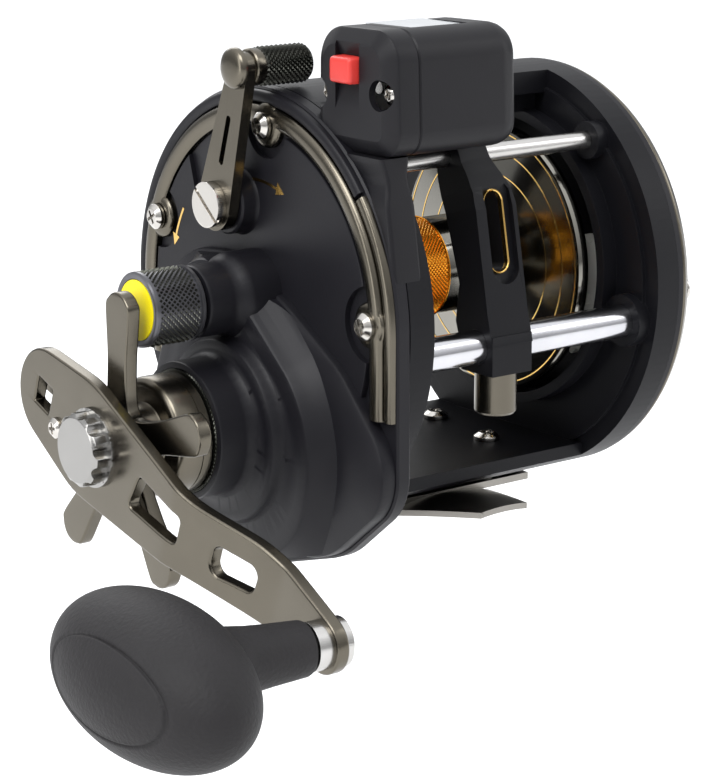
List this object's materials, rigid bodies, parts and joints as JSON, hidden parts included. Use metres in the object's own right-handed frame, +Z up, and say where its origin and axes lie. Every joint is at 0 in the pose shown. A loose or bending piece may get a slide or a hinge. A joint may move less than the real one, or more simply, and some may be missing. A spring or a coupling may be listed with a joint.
{
  "type": "trolling reel",
  "caption": "Level-wind trolling reel with a line counter, star drag, crank handle with an oval foam grip, free-spool lever and a saddle foot.",
  "frame": {"origin": "middle of the foot's flat underside, where it rests on the rod, straight below the ring axis", "axes": "+X along the spool axis away from the handle, -Y the way the line leaves, +Z up from the rod"},
  "size_m": [0.166, 0.134, 0.1186],
  "materials": {
    "graphite": "moulded, satin black",
    "side_cover": "moulded, fine charcoal satin",
    "trim": "anodised gunmetal, satin",
    "screws": "polished nickel",
    "foot": "stainless, brushed",
    "steel": "machined",
    "spool": "anodised, polished, fine gold rings",
    "band": "anodised orange, knurled",
    "knob_black": "black, diamond knurl",
    "disc": "plain yellow disc",
    "nylon": "moulded nylon",
    "chrome": "bright plated",
    "insert": "polished gold",
    "brass": "machined",
    "counter": "moulded, fine grain",
    "lens": "clear window",
    "digits": "white wheels",
    "button": "red, satin gloss",
    "grip": "charcoal foam, fine grain"
  },
  "bodies": {
    "frame": {"frame": "graphite", "side_plate": "side_cover", "side_trim": "trim", "side_plate_screws": "screws", "far_plate": "side_cover", "far_trim": "trim", "far_plate_screws": "screws", "reel_foot": "foot", "foot_screws": "screws", "bridge_plate": "steel", "bridge_screws": "screws", "near_bearing": "steel", "far_bearing": "steel", "worm_bushings": "nylon", "worm_tube": "chrome", "guide_rod": "steel", "counter_bracket": "side_cover", "counter_cap": "counter", "counter_housing": "counter", "counter_window": "lens", "counter_screws": "screws", "yoke_springs": "steel", "reset_spring": "steel"},
    "crank": {"handle_arm": "trim", "gear_sleeve": "steel", "ratchet_wheel": "steel", "drag_collar": "trim", "handle_nut": "chrome", "nut_lock_screw": "screws", "grip_stud": "steel"},
    "grip": {"grip": "grip"},
    "star": {"star_drag": "trim"},
    "main_gear": {"main_gear": "brass", "drag_washers": "steel"},
    "yoke": {"clutch_yoke": "nylon"},
    "pinion": {"pinion_gear": "brass"},
    "spool": {"spool": "spool", "braid_band": "band", "spool_shaft": "steel", "drive_gear": "nylon", "click_gear": "brass"},
    "idler": {"idler_gear": "nylon"},
    "worm": {"worm_shaft": "steel", "worm_gear": "nylon"},
    "line_guide": {"line_guide": "graphite", "guide_insert": "insert", "guide_pawl": "brass", "pawl_cap": "trim"},
    "lever": {"free_spool_lever": "trim", "lever_knob": "trim", "lever_screw": "screws"},
    "tension": {"tension_knob": "knob_black", "tension_disc": "disc", "tension_shim": "nylon"},
    "drums": {"counter_drums": "digits", "drum_axle": "steel"},
    "reset": {"reset_button": "button"},
    "dog": {"ratchet_dog": "steel"},
    "clicker": {"click_button": "knob_black", "click_pawl": "steel"}
  },
  "joints": [
    {"name": "crank_turn", "type": "hinge", "parent": "frame", "child": "crank", "pos_m": [-0.07, 0, 0.0218], "axis": [1, 0, 0], "continuous": true},
    {"name": "grip_spin", "type": "hinge", "parent": "crank", "child": "grip", "pos_m": [-0.0716, -0.06517, -0.00192], "axis": [0.998, -0.059, -0.0215], "continuous": true},
    {"name": "star_turn", "type": "hinge", "parent": "crank", "child": "star", "pos_m": [-0.072, 0, 0.0218], "axis": [1, 0, 0], "range_deg": [-180, 180]},
    {"name": "main_gear_turn", "type": "hinge", "parent": "frame", "child": "main_gear", "pos_m": [-0.044, 0, 0.0218], "axis": [1, 0, 0], "continuous": true},
    {"name": "spool_turn", "type": "hinge", "parent": "frame", "child": "spool", "pos_m": [0, 0, 0.0477], "axis": [1, 0, 0], "continuous": true},
    {"name": "yoke_slide", "type": "slide", "parent": "frame", "child": "yoke", "axis": [1, 0, 0], "range_m": [-0.00092, 0]},
    {"name": "pinion_turn", "type": "hinge", "parent": "yoke", "child": "pinion", "pos_m": [-0.044, 0, 0.0477], "axis": [1, 0, 0], "continuous": true},
    {"name": "idler_turn", "type": "hinge", "parent": "frame", "child": "idler", "pos_m": [0.034, -0.01902, 0.04005], "axis": [1, 0, 0], "continuous": true},
    {"name": "worm_turn", "type": "hinge", "parent": "frame", "child": "worm", "pos_m": [0, -0.0365, 0.0392], "axis": [1, 0, 0], "continuous": true},
    {"name": "drum_turn", "type": "hinge", "parent": "frame", "child": "drums", "pos_m": [-0.02, -0.0278, 0.091], "axis": [1, 0, 0], "continuous": true},
    {"name": "guide_slide", "type": "slide", "parent": "frame", "child": "line_guide", "axis": [1, 0, 0], "range_m": [-0.0155, 0.026]},
    {"name": "lever_turn", "type": "hinge", "parent": "frame", "child": "lever", "pos_m": [-0.045, 0.0055, 0.0655], "axis": [1, 0, 0], "range_deg": [-35, 0]},
    {"name": "tension_turn", "type": "hinge", "parent": "frame", "child": "tension", "pos_m": [-0.062, 0, 0.0477], "axis": [1, 0, 0], "range_deg": [-180, 180]},
    {"name": "reset_press", "type": "slide", "parent": "frame", "child": "reset", "axis": [1, 0, 0], "range_m": [0, 0.001], "stiffness_N_per_m": 300, "springref_m": -0.0005},
    {"name": "dog_swing", "type": "hinge", "parent": "frame", "child": "dog", "pos_m": [-0.0364, 0.0116, 0.0283], "axis": [1, 0, 0], "range_deg": [0, 12]},
    {"name": "click_slide", "type": "slide", "parent": "frame", "child": "clicker", "axis": [0, 1, 0], "range_m": [-0.0028, 0.0028]}
  ],
  "couplings": [
    {"joint": "main_gear_turn", "follows": "crank_turn", "ratio": 1},
    {"joint": "pinion_turn", "follows": "crank_turn", "ratio": -4.9},
    {"joint": "spool_turn", "follows": "crank_turn", "ratio": -4.9},
    {"joint": "idler_turn", "follows": "crank_turn", "ratio": 2.8269},
    {"joint": "worm_turn", "follows": "crank_turn", "ratio": -8.1667},
    {"joint": "drum_turn", "follows": "crank_turn", "ratio": 0.81667},
    {"joint": "yoke_slide", "follows": "lever_turn", "m_per_rad": 0.00145}
  ]
}
